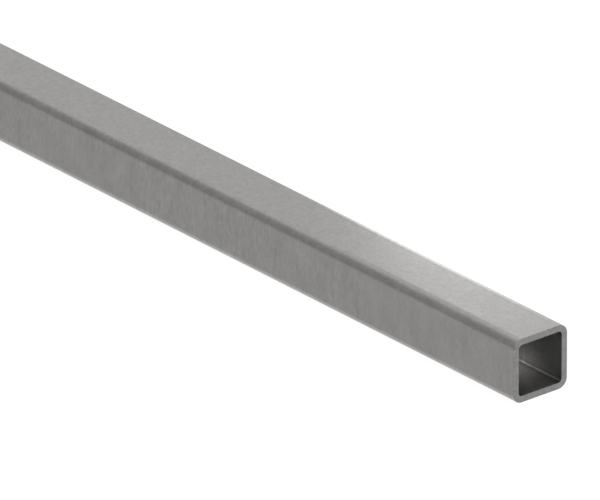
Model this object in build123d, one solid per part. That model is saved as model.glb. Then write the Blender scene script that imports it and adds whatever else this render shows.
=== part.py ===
from build123d import *
import os

# A length of square steel tube, lying on one flat with its long axis along X. Millimetres, +Z up.
# The origin is midway along the tube, on the floor under its middle.

# Sizes of the stock
LENGTH = 1000.0  # the length it is sold in, from one sawn end to the other
WIDTH = 30.0  # across the outside flats, the same both ways
WALL = 3.0  # one gauge all round, corners included
INSIDE_RADIUS = 1.7  # inside corner, as the forming rolls leave it
EDGE_BREAK = 0.2  # burr taken off every edge of a sawn end, at 45 degrees

# The gauge stays the same round a corner, so its two arcs share one centre
OUTSIDE_RADIUS = INSIDE_RADIUS + WALL
BORE = WIDTH - 2 * WALL


def tube_section():
    """The wall as a sawn end shows it: a rounded square with its bore taken out."""
    outline = RectangleRounded(WIDTH, WIDTH, OUTSIDE_RADIUS)
    bore = RectangleRounded(BORE, BORE, INSIDE_RADIUS)
    return outline - bore


def square_tube():
    """The section run along X, then the burr taken off the edges of both sawn ends."""
    middle = Plane(origin=(0, 0, WIDTH / 2), x_dir=(0, 1, 0), z_dir=(1, 0, 0))
    stock = extrude(middle * tube_section(), amount=LENGTH / 2, both=True)
    sawn_ends = stock.faces().filter_by(Axis.X)
    return chamfer(sawn_ends.edges(), EDGE_BREAK)


os.makedirs("parts", exist_ok=True)
export_step(square_tube(), "parts/square_tube.step")
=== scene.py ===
"""A length of square steel tube on a white studio floor, laid out as a Blender add-on.

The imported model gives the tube's place and size. The tube is built again on the same section with finer
corners, so that its brushed skin, sawn ends and bore each carry a finish of their own.
"""

import math
from collections import namedtuple

import bpy
from bpy.props import FloatProperty, FloatVectorProperty, IntProperty, PointerProperty
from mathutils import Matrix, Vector


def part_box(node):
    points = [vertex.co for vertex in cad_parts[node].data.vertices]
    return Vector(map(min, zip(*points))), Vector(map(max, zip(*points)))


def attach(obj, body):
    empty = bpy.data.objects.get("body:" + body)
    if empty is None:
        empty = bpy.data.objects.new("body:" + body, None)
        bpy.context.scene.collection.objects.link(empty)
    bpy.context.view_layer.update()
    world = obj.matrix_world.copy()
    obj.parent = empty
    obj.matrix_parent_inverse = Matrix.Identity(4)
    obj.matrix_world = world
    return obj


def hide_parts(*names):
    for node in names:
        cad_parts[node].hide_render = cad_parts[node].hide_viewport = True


bl_info = {
    "name": "Square Steel Tube",
    "version": (1, 0, 0),
    "blender": (4, 5, 0),
    "location": "View3D > Sidebar > Steel Tube",
    "description": "Builds a length of square steel tube with brushed faces and sawn ends, and a white stage",
    "category": "Add Mesh",
}

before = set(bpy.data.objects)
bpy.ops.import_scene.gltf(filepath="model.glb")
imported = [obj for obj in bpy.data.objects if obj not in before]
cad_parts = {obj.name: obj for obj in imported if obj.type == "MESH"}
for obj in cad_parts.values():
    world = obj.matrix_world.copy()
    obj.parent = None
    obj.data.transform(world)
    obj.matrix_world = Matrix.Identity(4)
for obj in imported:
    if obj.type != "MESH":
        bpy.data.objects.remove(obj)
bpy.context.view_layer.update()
TUBE_LOW, TUBE_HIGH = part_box("square_tube")
TUBE_SPAN = TUBE_HIGH - TUBE_LOW
HALF_LENGTH = TUBE_SPAN.x / 2
HALF_WIDTH = TUBE_SPAN.z / 2

# The mesh: an edge sharper than this stays crisp, and a face counts as sawn when its normal's X is past this
SHARP_ANGLE = math.radians(30)
SAWN_FACE_NORMAL = 0.5

# A pattern's features per metre along X, Y and Z, its detail, and its swing either way in tone and roughness
Pattern = namedtuple("Pattern", "per_metre detail tone roughness", defaults=(0.0, 0.0))
SCRATCHES = Pattern((1200.0, 250.0, 250.0), 3.0, 0.30, 0.04)
BUNDLES = Pattern((480.0, 70.0, 28.0), 4.0, 0.14, 0.05)
SPECKLE = Pattern((650.0, 650.0, 650.0), 3.0, 0.27)
CLOUDS = Pattern((105.0, 80.0, 80.0), 2.0, 0.16)
PATCHES = Pattern((11.0, 14.0, 14.0), 1.0)
ROLLED_LINES = Pattern((900.0, 150.0, 150.0), 3.0, 0.22)
SCALE_MOTTLE = Pattern((420.0, 420.0, 420.0), 4.0, 0.40, 0.10)
SAW_LINES = Pattern((20.0, 1400.0, 90.0), 3.0, 0.20, 0.08)
SAW_MOTTLE = Pattern((90.0, 420.0, 420.0), 4.0, 0.38, 0.06)
NICKS = Pattern((620.0, 620.0, 620.0), 2.0)

# How strong the finer detail of every pattern is beside the coarser
FINE_DETAIL = 0.6

# Brushed skin: where a side turns to a level flat and where clouds fade, in metres above or below the middle
SIDE_TO_FLAT = (0.0095, 0.0135)
CLOUDS_FADE = (0.0132, 0.0149)

# Brushed skin: the shares of the grain and the clouds on the level flats, and of the speckle on the sides
GRAIN_ON_FLATS = 0.25
CLOUDS_ON_FLATS = 0.35
SPECKLE_ON_SIDES = 0.30

# Brushed skin: the levels of the patches where the grain is weakest and strongest, and its strength there
PATCH_LEVELS = (0.36, 0.62)
PATCH_STRENGTHS = (0.60, 1.12)

# Brushed skin: where a lower corner takes its painted reflection of the white floor, in metres from the
# middle, both to the side and down
FLOOR_REFLECTION_FROM = (0.0105, 0.0125)

# Nicks: where they start and where they are full, in metres back from the end and out from the middle
NICKED_BACK = (0.0009, 0.0003)
NICKED_OUT = (0.0139, 0.0146)

# Nicks: the levels of their pattern between which they darken, and how dark they get
NICK_LEVELS = (0.60, 0.67)
NICK_DARKNESS = 0.42

# Slides the pattern of nicks along the tube, in metres, to choose which of them fall on its ends
NICK_OFFSET = (0.37, 0.0, 0.0)

# The bore's scale is dull and not bare metal
SCALE_ROUGHNESS = 0.6
SCALE_SPECULAR = 0.35

# Painted shade in from each sawn end of the bore: how steeply it fades, up to which height in metres it fades
# in full, and the share of that halfway up
END_SHADE_CURVE = 2.8
FULL_FADE_HEIGHT = 0.004
FADE_HALFWAY_UP = 0.34

# The darkest painted shade changes over these depths, in metres, in the corners and on the upright sides
END_SHADE_CHANGES = (0.0026, 0.0056)

# Its corners, in metres from the tube's middle
END_SHADE_CORNERS = (0.0060, 0.0102)

# Its turn from the sides to the floor and roof, by how many metres farther up or down than aside
END_SHADE_SIDE_TO_FLOOR = (0.0012, 0.0032)

# Its brightness in the corners before and after the change, as shares, and what the sides gain by it
END_SHADE_IN_CORNERS = (0.75, 1.15)
END_SHADE_ON_SIDES = 0.25

# Each fillet of the bore, by distance from the tube's middle in metres: a strip of painted shade, and the
# painted highlight line in it
STRIP_FROM = (0.0097, 0.0105)
STRIP_SHADE = 0.80
HIGHLIGHT_LINE_FROM = (0.01095, 0.01145)
HIGHLIGHT_LINE_BRIGHTNESS = 0.92

# Across a fillet from side to floor or roof, in the same metres, and its painted shade at each share of the
# way
FILLET_SPREAD = (-0.0005, 0.0045)
FILLET_SHADES = ((0.0, 1.0), (0.1, 1.0), (0.22, 0.59), (0.50, 0.80), (1.0, 1.0))

# Sawn ends: the slant of the saw lines, and the painted highlight on their broken edges, as a share of the
# face
SAW_SLANT = math.radians(28)
EDGE_PAINTED_HIGHLIGHT = 1.45

# The picture's frame, and where the near sawn end lies in it, in pixels
PICTURE_WIDTH_PX = 600
PICTURE_MIDDLE_PX = (300, 250)
END_MIDDLE_PX = (540.5, 364.05)
TUBE_WIDTH_PX = 70.455

# The camera sees from a tenth of its distance to ten times that
CLIP_RATIO = 10

# The floor's paint, and the white that the camera and reflections see over it, with the share that they see
FLOOR_PAINT = (0.9, 0.9, 0.9, 1)
FLOOR_WHITE = 1.02
FLOOR_WHITE_SHARE = 0.93

# The sky's level at each height above the horizon, in degrees. It is white where it meets the floor
SKY_LEVELS = ((1.0, 1.0), (3.0, 0.08), (10.0, 0.54), (20.0, 0.88), (36.0, 0.46), (48.0, 1.24), (60.0, 1.14))

# Two big softboxes, each by its turn from +X, its height above the horizon and its radius, in degrees
BACK_SOFTBOX = (120, 46, 43)
FRONT_SOFTBOX = (-35, 34, 20)
SOFTBOX_EDGE = math.radians(5)

# The small lamp, from the floor under the near sawn end, and what it is turned to, from the top of that end
LAMP_PLACE = (-0.226, 0.162, 0.070)
LAMP_AIM = (-0.090, 0.0, 0.0)

# The spacing of nodes in an editor
NODE_COLUMN = 200
NODE_ROW = 180


class TubeSizes(bpy.types.PropertyGroup):
    """Sizes of the tube's section and of the mesh that shows it."""

    length: FloatProperty(
        name="Length",
        description="From one sawn end to the other",
        default=TUBE_SPAN.x,
        min=0.01,
        unit="LENGTH",
    )
    width: FloatProperty(
        name="Width",
        description="Across the outside flats, the same both ways",
        default=TUBE_SPAN.z,
        min=0.005,
        unit="LENGTH",
    )
    wall: FloatProperty(
        name="Wall",
        description="Gauge of the wall, corners included",
        default=0.003,
        min=0.0005,
        unit="LENGTH",
    )
    inside_radius: FloatProperty(
        name="Inside Radius",
        description="Radius of the bore's corners",
        default=0.0017,
        min=0.0001,
        unit="LENGTH",
    )
    edge_break: FloatProperty(
        name="Edge Break",
        description="Chamfer on the edges of both sawn ends",
        default=0.0002,
        min=0.00005,
        unit="LENGTH",
    )
    corner_steps: IntProperty(
        name="Corner Steps",
        description="Faces round each of the four corners",
        default=20,
        min=3,
        max=64,
    )
    station_gap: FloatProperty(
        name="Station Gap",
        description="Distance between the mesh's rings along the tube",
        default=0.025,
        min=0.005,
        unit="LENGTH",
    )


class SteelFinish(bpy.types.PropertyGroup):
    """Colours and surface of the steel."""

    skin: FloatVectorProperty(
        name="Skin",
        description="Brushed outside faces",
        subtype="COLOR",
        size=3,
        default=(0.240, 0.236, 0.229),
        min=0.0,
        max=1.0,
    )
    bore: FloatVectorProperty(
        name="Bore",
        description="Walls inside the tube",
        subtype="COLOR",
        size=3,
        default=(0.75, 0.735, 0.71),
        min=0.0,
        max=1.0,
    )
    sawn: FloatVectorProperty(
        name="Sawn End",
        description="Bare metal of the cut ends",
        subtype="COLOR",
        size=3,
        default=(0.238, 0.236, 0.232),
        min=0.0,
        max=1.0,
    )
    edge_roughness: FloatProperty(
        name="Edge Roughness",
        description="Roughness of the broken edges of a sawn end",
        default=0.90,
        min=0.05,
        max=1.0,
        subtype="FACTOR",
    )
    edge_width: FloatProperty(
        name="Edge Width",
        description="How far back from the cut the edges reach their roughness",
        default=0.00008,
        min=0.00001,
        unit="LENGTH",
    )
    roughness: FloatProperty(
        name="Roughness",
        description="Roughness of the brushed skin",
        default=0.38,
        min=0.05,
        max=1.0,
        subtype="FACTOR",
    )
    grain_depth: FloatProperty(
        name="Grain Depth",
        description="Depth of the brushed scratches",
        default=0.000004,
        min=0.0,
        unit="LENGTH",
    )
    # A painted reflection of the white floor, on the corners that the tube lies on
    painted_reflection_level: FloatProperty(
        name="Painted Reflection Level",
        description="Brightness of the corners that the tube lies on, as a share of the skin's",
        default=1.42,
        min=0.0,
    )
    # Painted shade in from each sawn end of the bore, darkest at the end and lighter deeper in
    painted_shade_reach: FloatProperty(
        name="Painted Shade Reach",
        description="How far into the bore the darkening at a sawn end goes",
        default=0.023,
        min=0.001,
        unit="LENGTH",
    )
    painted_shade_level: FloatProperty(
        name="Painted Shade Level",
        description="Brightness of the bore right at a sawn end, as a share of the rest",
        default=0.064,
        min=0.0,
        max=1.0,
        subtype="FACTOR",
    )
    painted_shade_start: FloatProperty(
        name="Painted Shade Start",
        description="How far outside the sawn end the darkening starts to fade",
        default=0.0009,
        unit="LENGTH",
    )
    painted_shade_creep: FloatProperty(
        name="Painted Shade Creep",
        description="How much farther in the darkening goes for each metre towards a corner of the bore",
        default=0.33,
    )


class StageSettings(bpy.types.PropertyGroup):
    """Camera, light and floor."""

    azimuth: FloatProperty(
        name="Azimuth",
        description="Camera's turn round the tube, from looking along +Y",
        default=math.radians(50.113),
        subtype="ANGLE",
    )
    elevation: FloatProperty(
        name="Elevation",
        description="Camera's height above the horizon",
        default=math.radians(24.926),
        subtype="ANGLE",
    )
    lens: FloatProperty(
        name="Lens",
        description="Focal length in millimetres, long enough to keep the tube's edges parallel",
        default=1300.0,
        min=50.0,
    )
    floor_size: FloatProperty(
        name="Floor Size",
        description="Side of the white floor",
        default=200.0,
        min=1.0,
        unit="LENGTH",
    )
    back_level: FloatProperty(
        name="Back Softbox",
        description="What the softbox behind the tube adds to the sky",
        default=0.56,
        min=0.0,
    )
    front_level: FloatProperty(
        name="Front Softbox",
        description="What the softbox that shines into the near end adds to the sky",
        default=3.0,
        min=0.0,
    )
    lamp_size: FloatProperty(
        name="Lamp Size",
        description="Diameter of the small lamp behind the near end",
        default=0.1,
        min=0.01,
        unit="LENGTH",
    )
    lamp_level: FloatProperty(
        name="Lamp Level",
        description="How bright the small lamp's face is, where white is 1",
        default=2.4,
        min=0.0,
    )


def new_node(tree, kind, **settings):
    """Adds a node, with its properties set by name."""
    node = tree.nodes.new(kind)
    for name, value in settings.items():
        setattr(node, name, value)
    return node


def put(tree, socket, value):
    """Fills an input from another socket, or with a value."""
    if isinstance(value, bpy.types.NodeSocket):
        tree.links.new(value, socket)
    else:
        socket.default_value = value


def feed(tree, node, **inputs):
    """Fills a node's inputs, by socket name with underscores for spaces."""
    for name, value in inputs.items():
        put(tree, node.inputs[name.replace("_", " ")], value)
    return node


def math_node(tree, operation, *values):
    """The output of a Math node."""
    node = new_node(tree, "ShaderNodeMath", operation=operation)
    for socket, value in zip(node.inputs, values):
        put(tree, socket, value)
    return node.outputs["Value"]


def vector_math(tree, operation, *values):
    """The output of a Vector Math node: a number for a distance or a dot product, and otherwise a vector."""
    node = new_node(tree, "ShaderNodeVectorMath", operation=operation)
    for socket, value in zip(node.inputs, values):
        put(tree, socket, value)
    return node.outputs["Value" if operation in ("DISTANCE", "DOT_PRODUCT") else "Vector"]


def vector(tree, **parts):
    """A vector from its X, Y and Z, where the ones not given are zero."""
    return feed(tree, new_node(tree, "ShaderNodeCombineXYZ"), **parts).outputs["Vector"]


def compare(tree, operation, value, limit):
    """Whether a value is past a limit."""
    node = new_node(tree, "FunctionNodeCompare", data_type="FLOAT", operation=operation)
    return feed(tree, node, A=value, B=limit).outputs["Result"]


def between(tree, value, spread, levels, curve="SMOOTHSTEP", clamp=True):
    """Goes from one level to another as a value crosses a spread, up or down."""
    node = new_node(tree, "ShaderNodeMapRange", interpolation_type=curve, clamp=clamp)
    feed(tree, node, Value=value, From_Min=spread[0], From_Max=spread[1], To_Min=levels[0], To_Max=levels[1])
    return node.outputs["Result"]


def ramp(tree, value, stops):
    """A grey colour ramp, with stops of (place, level)."""
    node = new_node(tree, "ShaderNodeValToRGB")
    elements = node.color_ramp.elements
    while len(elements) < len(stops):
        elements.new(1.0)
    for element, (place, level) in zip(elements, stops):
        element.position = place
        element.color = (level, level, level, 1)
    return feed(tree, node, Fac=value).outputs["Color"]


def lay_out(tree):
    """Puts each node in the editor in a column to the left of all that it feeds."""
    columns = {node.name: 0 for node in tree.nodes}
    moved = True
    while moved:
        moved = False
        for link in tree.links:
            column = columns[link.to_node.name] + 1
            if column > columns[link.from_node.name]:
                columns[link.from_node.name] = column
                moved = True
    rows = {}
    for name, column in columns.items():
        row = rows.get(column, 0)
        rows[column] = row + 1
        tree.nodes[name].location = (-column * NODE_COLUMN, -row * NODE_ROW)


def rounded_outline(tree, given):
    """The path of the sweep: the tube's outline, a square with rounded corners."""
    square = new_node(tree, "GeometryNodeCurvePrimitiveQuadrilateral", mode="RECTANGLE")
    feed(tree, square, Width=given["Width"], Height=given["Width"])
    path = new_node(tree, "GeometryNodeFilletCurve", mode="POLY")
    feed(tree, path, Curve=square.outputs["Curve"])
    feed(tree, path, Count=given["Corner Steps"], Radius=given["Outside Radius"])
    return path.outputs["Curve"]


def wall_profile(tree, given):
    """The wall cut along the tube, as long as the tube and as thick as the wall, inside the outline."""
    wall = new_node(tree, "GeometryNodeCurvePrimitiveQuadrilateral", mode="RECTANGLE")
    feed(tree, wall, Width=given["Wall"], Height=given["Length"])
    broken = new_node(tree, "GeometryNodeFilletCurve", mode="POLY")
    feed(tree, broken, Curve=wall.outputs["Curve"], Count=1, Radius=given["Edge Break"])
    inward = vector(tree, X=math_node(tree, "MULTIPLY", given["Wall"], -0.5))
    placed = new_node(tree, "GeometryNodeTransform")
    feed(tree, placed, Geometry=broken.outputs["Curve"], Translation=inward)
    return placed.outputs["Geometry"]


def ringed(tree, profile, station_gap):
    """The profile with a point for each gap between stations, so on its long runs only."""
    here = new_node(tree, "GeometryNodeInputPosition").outputs["Position"]
    following = new_node(tree, "GeometryNodeOffsetPointInCurve")
    feed(tree, following, Point_Index=new_node(tree, "GeometryNodeInputIndex").outputs["Index"], Offset=1)
    there = new_node(tree, "GeometryNodeFieldAtIndex", data_type="FLOAT_VECTOR", domain="POINT")
    feed(tree, there, Value=here, Index=following.outputs["Point Index"])
    run = vector_math(tree, "DISTANCE", here, there.outputs["Value"])
    divided = new_node(tree, "GeometryNodeSubdivideCurve")
    feed(tree, divided, Curve=profile, Cuts=math_node(tree, "DIVIDE", run, station_gap))
    return divided.outputs["Curve"]


def swept(tree, path, profile, middle):
    """The profile swept round the path, laid down along X and lifted onto the floor."""
    sweep = feed(tree, new_node(tree, "GeometryNodeCurveToMesh"), Curve=path, Profile_Curve=profile)
    laid = new_node(tree, "GeometryNodeTransform")
    feed(tree, laid, Geometry=sweep.outputs["Mesh"], Translation=middle, Rotation=(0.0, math.pi / 2, 0.0))
    return laid.outputs["Geometry"]


def shaded(tree, mesh):
    """Smooth round the corners, crisp where the saw left an edge."""
    smooth = new_node(tree, "GeometryNodeSetShadeSmooth", domain="FACE")
    feed(tree, smooth, Geometry=mesh, Shade_Smooth=True)
    angle = new_node(tree, "GeometryNodeInputMeshEdgeAngle").outputs["Unsigned Angle"]
    sharp = compare(tree, "GREATER_THAN", angle, SHARP_ANGLE)
    crisp = new_node(tree, "GeometryNodeSetShadeSmooth", domain="EDGE")
    feed(tree, crisp, Geometry=smooth.outputs["Geometry"], Selection=sharp, Shade_Smooth=False)
    return crisp.outputs["Geometry"]


def dressed(tree, mesh, given, middle):
    """Materials by where a face looks: out, in towards the tube's middle, or along the tube."""
    normal = new_node(tree, "GeometryNodeInputNormal").outputs["Normal"]
    place = new_node(tree, "GeometryNodeInputPosition").outputs["Position"]
    across = vector_math(tree, "MULTIPLY", vector_math(tree, "SUBTRACT", place, middle), (0.0, 1.0, 1.0))
    inside = compare(tree, "LESS_THAN", vector_math(tree, "DOT_PRODUCT", across, normal), 0.0)
    parts = feed(tree, new_node(tree, "ShaderNodeSeparateXYZ"), Vector=normal).outputs
    sawn = compare(tree, "GREATER_THAN", math_node(tree, "ABSOLUTE", parts["X"]), SAWN_FACE_NORMAL)
    mesh = feed(tree, new_node(tree, "GeometryNodeRealizeInstances"), Geometry=mesh).outputs["Geometry"]
    for chosen, name in ((True, "Skin"), (inside, "Bore"), (sawn, "Sawn End")):
        coat = new_node(tree, "GeometryNodeSetMaterial")
        feed(tree, coat, Geometry=mesh, Selection=chosen, Material=given[name])
        mesh = coat.outputs["Geometry"]
    return mesh


def tube_tree():
    """Geometry Nodes that sweep the wall's long section round the rounded square."""
    tree = bpy.data.node_groups.new("square_tube_sweep", "GeometryNodeTree")
    sockets = tree.interface
    for name in ("Length", "Width", "Wall", "Outside Radius", "Edge Break", "Station Gap"):
        sockets.new_socket(name, in_out="INPUT", socket_type="NodeSocketFloat")
    sockets.new_socket("Corner Steps", in_out="INPUT", socket_type="NodeSocketInt")
    for name in ("Skin", "Bore", "Sawn End"):
        sockets.new_socket(name, in_out="INPUT", socket_type="NodeSocketMaterial")
    sockets.new_socket("Geometry", in_out="OUTPUT", socket_type="NodeSocketGeometry")

    given = new_node(tree, "NodeGroupInput").outputs
    middle = vector(tree, Z=math_node(tree, "MULTIPLY", given["Width"], 0.5))
    profile = ringed(tree, wall_profile(tree, given), given["Station Gap"])
    mesh = swept(tree, rounded_outline(tree, given), profile, middle)
    mesh = dressed(tree, shaded(tree, mesh), given, middle)
    feed(tree, new_node(tree, "NodeGroupOutput"), Geometry=mesh)
    lay_out(tree)
    return tree


def noise(tree, where, pattern):
    """A pattern's noise at a place on the tube."""
    stretched = feed(tree, new_node(tree, "ShaderNodeMapping"), Vector=where, Scale=pattern.per_metre)
    node = new_node(tree, "ShaderNodeTexNoise")
    feed(tree, node, Vector=stretched.outputs["Vector"], Scale=1.0)
    feed(tree, node, Detail=pattern.detail, Roughness=FINE_DETAIL)
    return node.outputs["Fac"]


def around(tree, middle, shares):
    """A middle value, moved either way by each noise, as far as its share says."""
    total = middle
    for level, share in shares:
        moved = between(tree, level, (0.0, 1.0), (-share, share), curve="LINEAR", clamp=False)
        total = math_node(tree, "ADD", moved, total)
    return total


def steel(name):
    """A bare metal material, with the parts of its tree that a finish is wired to."""
    material = bpy.data.materials.new(name)
    material.use_nodes = True
    tree = material.node_tree
    shader = tree.nodes["Principled BSDF"]
    shader.inputs["Metallic"].default_value = 1.0
    where = new_node(tree, "ShaderNodeTexCoord").outputs["Object"]
    return material, tree, shader, where


def coloured(tree, shader, colour, brightness):
    """Gives the shader a colour times a brightness."""
    scaled = new_node(tree, "ShaderNodeVectorMath", operation="SCALE")
    feed(tree, scaled, Vector=colour, Scale=brightness)
    feed(tree, shader, Base_Color=scaled.outputs["Vector"])


def relief(tree, shader, height, depth):
    """Bump from a height pattern, as deep as the real marks."""
    bump = feed(tree, new_node(tree, "ShaderNodeBump"), Height=height, Distance=depth, Strength=1.0)
    feed(tree, shader, Normal=bump.outputs["Normal"])


# A place's height, and its distances from the tube's middle, where corner is the lesser of aside and updown
Distances = namedtuple("Distances", "height along aside updown corner")


def distances(tree, where):
    """The distances that the finishes go by, in metres, of a place on the tube."""
    parts = feed(tree, new_node(tree, "ShaderNodeSeparateXYZ"), Vector=where).outputs
    along = math_node(tree, "ABSOLUTE", parts["X"])
    aside = math_node(tree, "ABSOLUTE", parts["Y"])
    updown = math_node(tree, "ABSOLUTE", math_node(tree, "SUBTRACT", parts["Z"], HALF_WIDTH))
    return Distances(parts["Z"], along, aside, updown, math_node(tree, "MINIMUM", aside, updown))


def nicked(tree, where, brightness, at_edge):
    """A brightness with small dark nicks in it, where the edge of a sawn end has been knocked."""
    slid = feed(tree, new_node(tree, "ShaderNodeMapping"), Vector=where, Location=NICK_OFFSET)
    nick = between(tree, noise(tree, slid.outputs["Vector"], NICKS), NICK_LEVELS, (0.0, NICK_DARKNESS))
    nick = math_node(tree, "MULTIPLY", nick, at_edge)
    return math_node(tree, "MULTIPLY", brightness, math_node(tree, "SUBTRACT", 1.0, nick))


def brushed_skin(finish):
    """Outside faces: scratches across the tube that run on round its corners, over soft clouds."""
    material, tree, shader, where = steel("brushed_skin")
    spot = distances(tree, where)
    scratches = noise(tree, where, SCRATCHES)
    bundles = noise(tree, where, BUNDLES)

    # The grain, weaker in patches and on the level flats
    grain = around(tree, 0.0, ((scratches, SCRATCHES.tone), (bundles, BUNDLES.tone)))
    patchy = between(tree, noise(tree, where, PATCHES), PATCH_LEVELS, PATCH_STRENGTHS)
    upright = between(tree, spot.updown, SIDE_TO_FLAT, (1.0, GRAIN_ON_FLATS))
    brightness = math_node(tree, "MULTIPLY", grain, math_node(tree, "MULTIPLY", patchy, upright))

    # A speckle, which is strongest on the level flats, and clouds, which are weakest there
    for pattern, spread, levels in (
        (SPECKLE, SIDE_TO_FLAT, (SPECKLE_ON_SIDES, 1.0)),
        (CLOUDS, CLOUDS_FADE, (1.0, CLOUDS_ON_FLATS)),
    ):
        mottle = around(tree, 0.0, ((noise(tree, where, pattern), pattern.tone),))
        mottle = math_node(tree, "MULTIPLY", mottle, between(tree, spot.updown, spread, levels))
        brightness = math_node(tree, "ADD", brightness, mottle)
    brightness = math_node(tree, "ADD", brightness, 1.0)

    # The corners that the tube lies on get a painted reflection of the white floor, which makes them brighter
    painted_reflection = between(tree, spot.corner, FLOOR_REFLECTION_FROM, (0.0, finish.painted_reflection_level - 1))
    painted_reflection = math_node(tree, "MULTIPLY", painted_reflection, math_node(tree, "LESS_THAN", spot.height, HALF_WIDTH))
    brightness = math_node(tree, "MULTIPLY", brightness, math_node(tree, "ADD", painted_reflection, 1.0))

    edge = [HALF_LENGTH - back for back in NICKED_BACK]
    brightness = nicked(tree, where, brightness, between(tree, spot.along, edge, (0.0, 1.0)))
    coloured(tree, shader, finish.skin, brightness)
    shares = ((scratches, SCRATCHES.roughness), (bundles, BUNDLES.roughness))
    feed(tree, shader, Roughness=around(tree, finish.roughness, shares))
    height = math_node(tree, "MULTIPLY", math_node(tree, "ADD", scratches, bundles), upright)
    relief(tree, shader, height, finish.grain_depth)
    lay_out(tree)
    return material


def painted_end_shade(tree, spot, floorward, finish):
    """How bright the bore is under the painted shade in from its sawn ends, which goes deeper in the corners
    and fades first low down, so that the lower walls are painted lighter.
    """
    depth = math_node(tree, "SUBTRACT", HALF_LENGTH + finish.painted_shade_start, spot.along)
    creep = math_node(tree, "MULTIPLY", spot.corner, finish.painted_shade_creep)
    past = math_node(tree, "SUBTRACT", depth, creep)
    faded = between(tree, past, (0.0, finish.painted_shade_reach), (0.0, 1.0), curve="LINEAR")
    faded = math_node(tree, "POWER", faded, END_SHADE_CURVE)
    low_down = between(tree, spot.height, (HALF_WIDTH, FULL_FADE_HEIGHT), (FADE_HALFWAY_UP, 1.0))
    faded = math_node(tree, "MULTIPLY", faded, low_down)

    # The darkest of the painted shade, darker still in the corners at the end: a little way in, it is already
    # lighter on the sides and in the corners
    in_corners = between(tree, depth, END_SHADE_CHANGES, END_SHADE_IN_CORNERS)
    blackest = between(tree, spot.corner, END_SHADE_CORNERS, (1.0, in_corners))
    on_sides = between(tree, floorward, END_SHADE_SIDE_TO_FLOOR, (END_SHADE_ON_SIDES, 0.0))
    on_sides = math_node(tree, "MULTIPLY", on_sides, between(tree, depth, END_SHADE_CHANGES, (0.0, 1.0)))
    blackest = math_node(tree, "MULTIPLY", blackest, math_node(tree, "ADD", on_sides, 1.0))
    blackest = math_node(tree, "MULTIPLY", blackest, finish.painted_shade_level)
    return between(tree, faded, (0.0, 1.0), (blackest, 1.0), curve="LINEAR")


def fillet_painted_light(tree, spot, floorward):
    """How bright each fillet is: a painted highlight line in a strip of painted shade, which is darker on the
    floor and the roof.
    """
    strip = between(tree, spot.corner, STRIP_FROM, (1.0, STRIP_SHADE))
    line = between(tree, spot.corner, HIGHLIGHT_LINE_FROM, (0.0, HIGHLIGHT_LINE_BRIGHTNESS))
    way = between(tree, floorward, FILLET_SPREAD, (0.0, 1.0), curve="LINEAR")
    return math_node(tree, "MULTIPLY", math_node(tree, "ADD", strip, line), ramp(tree, way, FILLET_SHADES))


def scaled_bore(finish):
    """Inside walls, as rolled: dull, with a painted highlight line down each fillet, and painted shade in
    from each sawn end.
    """
    material, tree, shader, where = steel("scaled_bore")
    shader.inputs["Metallic"].default_value = 0.0
    shader.inputs["Specular IOR Level"].default_value = SCALE_SPECULAR
    rolled = noise(tree, where, ROLLED_LINES)
    mottle = noise(tree, where, SCALE_MOTTLE)
    brightness = around(tree, 1.0, ((rolled, ROLLED_LINES.tone), (mottle, SCALE_MOTTLE.tone)))

    # Floorward is how many metres farther up or down than aside a place lies, most of all mid-floor
    spot = distances(tree, where)
    floorward = math_node(tree, "SUBTRACT", spot.updown, spot.aside)
    # Painted shade in from each sawn end, deeper in the corners and lighter low down
    brightness = math_node(tree, "MULTIPLY", brightness, painted_end_shade(tree, spot, floorward, finish))
    # A painted highlight line down each fillet, in painted shade that is darker on the floor and the roof
    brightness = math_node(tree, "MULTIPLY", brightness, fillet_painted_light(tree, spot, floorward))
    coloured(tree, shader, finish.bore, brightness)
    feed(tree, shader, Roughness=around(tree, SCALE_ROUGHNESS, ((mottle, SCALE_MOTTLE.roughness),)))
    relief(tree, shader, rolled, finish.grain_depth)
    lay_out(tree)
    return material


def sawn_face(finish):
    """Cut ends: fine parallel saw lines, slanted across the wall, with rougher broken edges that carry a
    painted highlight.
    """
    material, tree, shader, where = steel("sawn_face")
    spot = distances(tree, where)
    turned = feed(tree, new_node(tree, "ShaderNodeMapping"), Vector=where, Rotation=(SAW_SLANT, 0.0, 0.0))
    lines = noise(tree, turned.outputs["Vector"], SAW_LINES)
    mottle = noise(tree, where, SAW_MOTTLE)
    brightness = around(tree, 1.0, ((lines, SAW_LINES.tone), (mottle, SAW_MOTTLE.tone)))

    edge = (HALF_LENGTH - finish.edge_width, HALF_LENGTH)
    roughness = between(tree, spot.along, edge, (finish.edge_roughness, finish.roughness), curve="LINEAR")
    # A painted highlight on the broken edges, brighter where they are rougher
    painted_edge_highlight = between(tree, roughness, (finish.roughness, finish.edge_roughness), (1.0, EDGE_PAINTED_HIGHLIGHT))
    brightness = math_node(tree, "MULTIPLY", brightness, painted_edge_highlight)
    outwards = math_node(tree, "MAXIMUM", spot.aside, spot.updown)
    brightness = nicked(tree, where, brightness, between(tree, outwards, NICKED_OUT, (0.0, 1.0)))
    coloured(tree, shader, finish.sawn, brightness)
    roughness = around(tree, roughness, ((lines, SAW_LINES.roughness), (mottle, SAW_MOTTLE.roughness)))
    feed(tree, shader, Roughness=roughness)
    relief(tree, shader, lines, finish.grain_depth)
    lay_out(tree)
    return material


def set_tree_inputs(modifier, values):
    """Sets a Geometry Nodes modifier's inputs by the identifier of each named socket."""
    for item in modifier.node_group.interface.items_tree:
        if item.item_type == "SOCKET" and item.in_out == "INPUT":
            modifier[item.identifier] = values[item.name]


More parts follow.
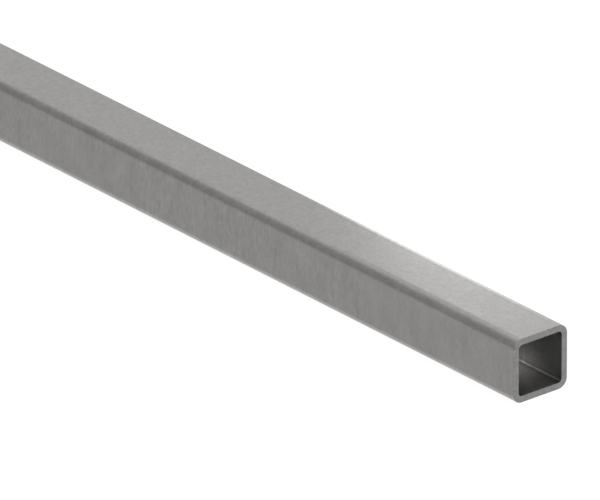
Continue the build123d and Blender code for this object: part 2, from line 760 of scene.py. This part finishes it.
class STEEL_OT_add_tube(bpy.types.Operator):
    """Build the square tube with its three finishes and show it in place of the CAD node"""

    bl_idname = "steel.add_tube"
    bl_label = "Add Square Tube"

    def execute(self, context):
        sizes = context.scene.steel_sizes
        finish = context.scene.steel_finish
        piece = bpy.data.objects.new("brushed_square_tube", bpy.data.meshes.new("brushed_square_tube"))
        context.scene.collection.objects.link(piece)
        sweep = piece.modifiers.new("sweep", "NODES")
        sweep.node_group = tube_tree()
        values = {
            "Length": sizes.length,
            "Width": sizes.width,
            "Wall": sizes.wall,
            "Outside Radius": sizes.inside_radius + sizes.wall,
            "Edge Break": sizes.edge_break,
            "Station Gap": sizes.station_gap,
            "Corner Steps": sizes.corner_steps,
            "Skin": brushed_skin(finish),
            "Bore": scaled_bore(finish),
            "Sawn End": sawn_face(finish),
        }
        set_tree_inputs(sweep, values)
        even = piece.modifiers.new("even_shading", "WEIGHTED_NORMAL")
        even.keep_sharp = True
        graph = context.evaluated_depsgraph_get()
        mesh = bpy.data.meshes.new_from_object(piece.evaluated_get(graph), depsgraph=graph)
        piece.modifiers.clear()
        piece.data = mesh
        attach(piece, "root")
        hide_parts("square_tube")
        return {"FINISHED"}


def camera_axes(azimuth, elevation):
    """Unit vectors to the picture's right, to its top, and from the tube back to the camera."""
    right = Vector((math.cos(azimuth), math.sin(azimuth), 0))
    tilt = math.sin(elevation)
    up = Vector((-math.sin(azimuth) * tilt, math.cos(azimuth) * tilt, math.cos(elevation)))
    return right, up, right.cross(up)


def add_object(context, name, data):
    """Puts a new object with its data in the scene."""
    thing = bpy.data.objects.new(name, data)
    context.scene.collection.objects.link(thing)
    return thing


class STEEL_OT_add_stage(bpy.types.Operator):
    """Add the white floor, the studio light and the camera"""

    bl_idname = "steel.add_stage"
    bl_label = "Add Stage"

    def execute(self, context):
        stage = context.scene.steel_stage
        self.add_floor(context, stage)
        self.add_world(context, stage)
        self.add_lamp(context, stage)
        self.add_camera(context, stage)
        context.scene.view_settings.view_transform = "Standard"
        return {"FINISHED"}

    def add_floor(self, context, stage):
        """A painted floor that takes the tube's shadow, and is white to the camera and in reflections."""
        half = stage.floor_size / 2
        corners = [(-half, -half, 0), (half, -half, 0), (half, half, 0), (-half, half, 0)]
        mesh = bpy.data.meshes.new("floor")
        mesh.from_pydata(corners, [], [(0, 1, 2, 3)])
        mesh.materials.append(self.floor_material())
        floor = add_object(context, "floor", mesh)

    def floor_material(self):
        """White paint, with a white glow over it that only the camera and reflections see."""
        material = bpy.data.materials.new("white_floor")
        material.use_nodes = True
        material.cycles.emission_sampling = "NONE"
        tree = material.node_tree
        tree.nodes.clear()
        paint = feed(tree, new_node(tree, "ShaderNodeBsdfDiffuse"), Color=FLOOR_PAINT)
        white = feed(tree, new_node(tree, "ShaderNodeEmission"), Strength=FLOOR_WHITE)
        rays = new_node(tree, "ShaderNodeLightPath").outputs
        seen = math_node(tree, "MAXIMUM", rays["Is Camera Ray"], rays["Is Glossy Ray"])
        seen = math_node(tree, "MAXIMUM", seen, rays["Is Transmission Ray"])
        seen = math_node(tree, "MULTIPLY", seen, FLOOR_WHITE_SHARE)
        mix = feed(tree, new_node(tree, "ShaderNodeMixShader"), Fac=seen)
        put(tree, mix.inputs[1], paint.outputs["BSDF"])
        put(tree, mix.inputs[2], white.outputs["Emission"])
        feed(tree, new_node(tree, "ShaderNodeOutputMaterial"), Surface=mix.outputs["Shader"])
        lay_out(tree)
        return material

    def add_world(self, context, stage):
        """A sky graded by height, with a big softbox behind the tube and one before its open end."""
        world = bpy.data.worlds.new("studio")
        world.use_nodes = True
        context.scene.world = world
        tree = world.node_tree
        towards = new_node(tree, "ShaderNodeTexCoord").outputs["Generated"]
        height = feed(tree, new_node(tree, "ShaderNodeSeparateXYZ"), Vector=towards).outputs["Z"]
        stops = [(math.sin(math.radians(degrees)), level) for degrees, level in SKY_LEVELS]
        light = ramp(tree, height, stops)
        for aim, level in ((BACK_SOFTBOX, stage.back_level), (FRONT_SOFTBOX, stage.front_level)):
            light = vector_math(tree, "ADD", light, self.softbox(tree, towards, aim, level))
        feed(tree, tree.nodes["Background"], Color=light)
        lay_out(tree)

    def softbox(self, tree, towards, aim, level):
        """A soft-edged disc of light in the sky, aimed by its turn, its height and its radius in degrees."""
        turn, rise, radius = (math.radians(angle) for angle in aim)
        middle = (math.cos(rise) * math.cos(turn), math.cos(rise) * math.sin(turn), math.sin(rise))
        near = vector_math(tree, "DOT_PRODUCT", towards, middle)
        edge = (math.cos(radius + SOFTBOX_EDGE), math.cos(radius - SOFTBOX_EDGE))
        return between(tree, near, edge, (0.0, level))

    def add_lamp(self, context, stage):
        """A small round lamp low behind the tube, which lights the top near the sawn end."""
        data = bpy.data.lights.new("near_lamp", "AREA")
        data.shape = "DISK"
        data.size = stage.lamp_size
        data.energy = stage.lamp_level * math.pi * math.pi * (stage.lamp_size / 2) ** 2
        lamp = add_object(context, "near_lamp", data)
        lamp.visible_camera = False
        lamp.location = Vector((TUBE_HIGH.x, 0, 0)) + Vector(LAMP_PLACE)
        lit = Vector((TUBE_HIGH.x, 0, TUBE_HIGH.z)) + Vector(LAMP_AIM)
        lamp.rotation_euler = (lamp.location - lit).to_track_quat("Z", "Y").to_euler()

    def add_camera(self, context, stage):
        """The near sawn end falls on its pixel, at the picture's scale."""
        data = bpy.data.cameras.new("camera")
        data.lens = stage.lens
        camera = add_object(context, "camera", data)
        context.scene.camera = camera
        right, up, back = camera_axes(stage.azimuth, stage.elevation)
        metres_per_px = TUBE_SPAN.z / TUBE_WIDTH_PX
        end_middle = Vector((TUBE_HIGH.x, 0, HALF_WIDTH))
        aim = end_middle + right * (PICTURE_MIDDLE_PX[0] - END_MIDDLE_PX[0]) * metres_per_px
        aim += up * (END_MIDDLE_PX[1] - PICTURE_MIDDLE_PX[1]) * metres_per_px
        distance = PICTURE_WIDTH_PX * metres_per_px * data.lens / data.sensor_width
        camera.location = aim + back * distance
        camera.rotation_euler = back.to_track_quat("Z", "Y").to_euler()
        data.clip_start = distance / CLIP_RATIO
        data.clip_end = distance * CLIP_RATIO


class STEEL_PT_panel(bpy.types.Panel):
    """The tube's sizes, its finish and the stage"""

    bl_idname = "STEEL_PT_panel"
    bl_label = "Square Steel Tube"
    bl_space_type = "VIEW_3D"
    bl_region_type = "UI"
    bl_category = "Steel Tube"

    def draw(self, context):
        layout = self.layout
        scene = context.scene
        for title, group, operator in (
            ("Tube", scene.steel_sizes, STEEL_OT_add_tube.bl_idname),
            ("Finish", scene.steel_finish, None),
            ("Stage", scene.steel_stage, STEEL_OT_add_stage.bl_idname),
        ):
            box = layout.box()
            box.label(text=title)
            for name in group.__annotations__:
                box.prop(group, name)
            if operator:
                box.operator(operator)


CLASSES = (TubeSizes, SteelFinish, StageSettings, STEEL_OT_add_tube, STEEL_OT_add_stage, STEEL_PT_panel)


def register():
    for cls in CLASSES:
        bpy.utils.register_class(cls)
    bpy.types.Scene.steel_sizes = PointerProperty(type=TubeSizes)
    bpy.types.Scene.steel_finish = PointerProperty(type=SteelFinish)
    bpy.types.Scene.steel_stage = PointerProperty(type=StageSettings)


def unregister():
    del bpy.types.Scene.steel_stage
    del bpy.types.Scene.steel_finish
    del bpy.types.Scene.steel_sizes
    for cls in reversed(CLASSES):
        bpy.utils.unregister_class(cls)


def main():
    register()
    bpy.ops.steel.add_tube()
    bpy.ops.steel.add_stage()


if __name__ == "__main__":
    main()
